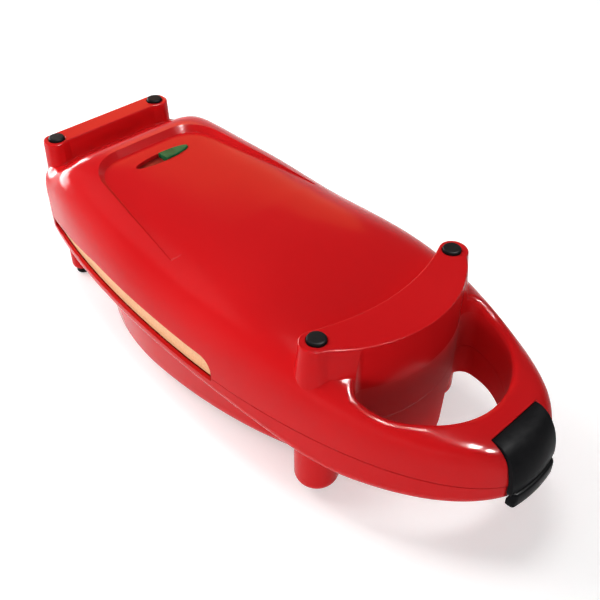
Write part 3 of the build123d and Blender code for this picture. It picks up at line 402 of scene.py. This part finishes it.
def lip_outline(front, rear, inset):
    """Seen from above: bowed at the front, with rounded front corners and a straight rear."""
    half_width, corner = LIP_HALF_WIDTH - inset, LIP_CORNER - inset
    inner = half_width - corner
    steps = LIP_CORNER_STEPS
    turns = [math.pi / 2 * step / steps for step in range(steps + 1)]
    right = [(inner + corner * math.sin(turn), corner * (1 - math.cos(turn))) for turn in turns]
    middle = [(inner * (2 * step / steps - 1), 0.0) for step in range(1, steps)]
    left = [(-x, back) for x, back in reversed(right)]
    ahead = [
        (x, front + inset + LIP_BOW * (x / half_width) ** 2 + back)
        for x, back in left + middle + right
    ]
    return ahead + [(x, rear - inset) for x, _ in reversed(ahead)]


def latch_lip():
    """The bar to pull, in soft moulded plastic, over the clip's foot."""
    low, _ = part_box("latch_clip")
    front, rear, bottom = low[1] - LIP_AHEAD, low[1] + LIP_BEHIND, low[2] - LIP_BELOW
    mesh = bmesh.new()
    rings = []
    for rise, inset in LIP_RINGS:
        outline = lip_outline(front, rear, inset)
        rings.append([mesh.verts.new((x, y, bottom + rise)) for x, y in outline])
    for lower, upper in zip(rings, rings[1:]):
        for i in range(len(lower)):
            j = (i + 1) % len(lower)
            mesh.faces.new((lower[i], lower[j], upper[j], upper[i]))
    mesh.faces.new(list(reversed(rings[0])))
    mesh.faces.new(rings[-1])
    bmesh.ops.recalc_face_normals(mesh, faces=mesh.faces)
    data = bpy.data.meshes.new("latch_lip")
    mesh.to_mesh(data)
    mesh.free()
    data.shade_smooth()
    data.set_sharp_from_angle(angle=math.radians(LIP_SMOOTH_DEGREES))
    data.materials.append(MATERIALS["black_plastic"])
    made = new_object("latch_lip", data)
    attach(made, "latch")


latch_lip()


def seen_or_mirrored(tree):
    """1 for rays from the camera and for mirrored or refracted ones, else 0."""
    path = tree.nodes.new("ShaderNodeLightPath")
    mirrored = calculated(
        tree, "MAXIMUM", path.outputs["Is Glossy Ray"], path.outputs["Is Transmission Ray"])
    return calculated(tree, "MAXIMUM", path.outputs["Is Camera Ray"], mirrored)


def pale_floor():
    """A matt white floor, lifted to the eye, more so far out, so that it meets the background."""
    material = bpy.data.materials.new("pale_floor")
    material.use_nodes = True
    tree = material.node_tree
    bsdf = tree.nodes["Principled BSDF"]
    bsdf.inputs["Base Color"].default_value = (*FLOOR_COLOUR, 1.0)
    bsdf.inputs["Roughness"].default_value = FLOOR_ROUGHNESS
    bsdf.inputs["Specular IOR Level"].default_value = 0.0
    bsdf.inputs["Emission Color"].default_value = (*WHITE, 1.0)
    distance = tree.nodes.new("ShaderNodeVectorMath")
    distance.operation = "LENGTH"
    place = tree.nodes.new("ShaderNodeTexCoord").outputs["Object"]
    tree.links.new(place, distance.inputs[0])
    lift = mapped(tree, distance.outputs["Value"], *FLOOR_LIFT, *FLOOR_DISTANCE)
    strength = calculated(tree, "MULTIPLY", seen_or_mirrored(tree), lift)
    tree.links.new(strength, bsdf.inputs["Emission Strength"])
    return material


half = FLOOR_SIZE / 2
floor_mesh = bpy.data.meshes.new("floor")
floor_mesh.from_pydata(
    [(-half, -half, 0.0), (half, -half, 0.0), (half, half, 0.0), (-half, half, 0.0)],
    [], [(0, 1, 2, 3)])
floor_mesh.materials.append(pale_floor())
floor = new_object("floor", floor_mesh)
floor.location = (0.0, 0.0, -FLOOR_BELOW)


def area_light(name, place, target, size, power, colour=WHITE, in_gloss=False):
    """A lamp that the camera doesn't see. It lights either the matt or the gloss, not both."""
    data = bpy.data.lights.new(name, "AREA")
    data.shape = "RECTANGLE"
    data.size, data.size_y = size
    data.energy = power
    data.color = colour
    lamp = new_object(name, data)
    lamp.location = place
    turn_to(lamp, Vector(target) - Vector(place))
    lamp.visible_camera = False
    lamp.visible_diffuse = not in_gloss
    lamp.visible_glossy = in_gloss


area_light("key", place=(-0.50, 1.25, 1.20), target=(0.0, 0.0, 0.05), size=(1.0, 0.7), power=18.0)
area_light("overhead", place=(-0.10, 0.20, 1.7), target=(0.0, -0.1, 0.08), size=(0.5, 0.5),
           power=9.0)
area_light("left_fill", place=(-1.35, -0.50, 0.16), target=(0.0, -0.05, 0.04), size=(1.2, 0.24),
           power=7.0)

# Panes that show only in the gloss: at the nose, along the arm, on the crown and behind
area_light("left_pane", place=(0.20, -0.61, 1.29), target=NOSE_TOP, size=(0.26, 0.20),
           power=85.0, in_gloss=True)
area_light("right_pane", place=(0.30, -0.95, 1.05), target=NOSE_TOP, size=(0.26, 0.20),
           power=85.0, in_gloss=True)
area_light("arm_pane", place=(0.10, -0.05, 1.66), target=ARM_TOP, size=(0.30, 0.30),
           power=80.0, in_gloss=True)
area_light("rear_panel", place=(1.17, 1.40, 0.91), target=(0.0, 0.0, 0.10), size=(1.15, 0.70),
           power=6.0, colour=(1.0, 0.35, 0.10), in_gloss=True)
area_light("behind", place=(-0.15, 1.5, 0.20), target=(0.0, 0.0, 0.08), size=(1.2, 0.7),
           power=60.0, in_gloss=True)

scene = bpy.context.scene

# A bright horizon under a dimmer sky
world = bpy.data.worlds.new("studio")
world.use_nodes = True
scene.world = world
sky = world.node_tree
direction = sky.nodes.new("ShaderNodeTexCoord").outputs["Generated"]
parts = sky.nodes.new("ShaderNodeSeparateXYZ")
sky.links.new(direction, parts.inputs[0])
background = sky.nodes["Background"]
background.inputs["Color"].default_value = (*WHITE, 1.0)
strength = mapped(sky, parts.outputs["Z"], *SKY_STRENGTH, *SKY_HEIGHT)
sky.links.new(strength, background.inputs["Strength"])

scene.view_settings.view_transform = "Standard"

camera_data = bpy.data.cameras.new("camera")
camera_data.lens = CAMERA_LENS
camera_data.sensor_width = CAMERA_SENSOR
camera_data.clip_start = CAMERA_CLIP
camera = new_object("camera", camera_data)
camera.location = CAMERA_PLACE
turn_to(camera, CAMERA_AIM)
scene.camera = camera
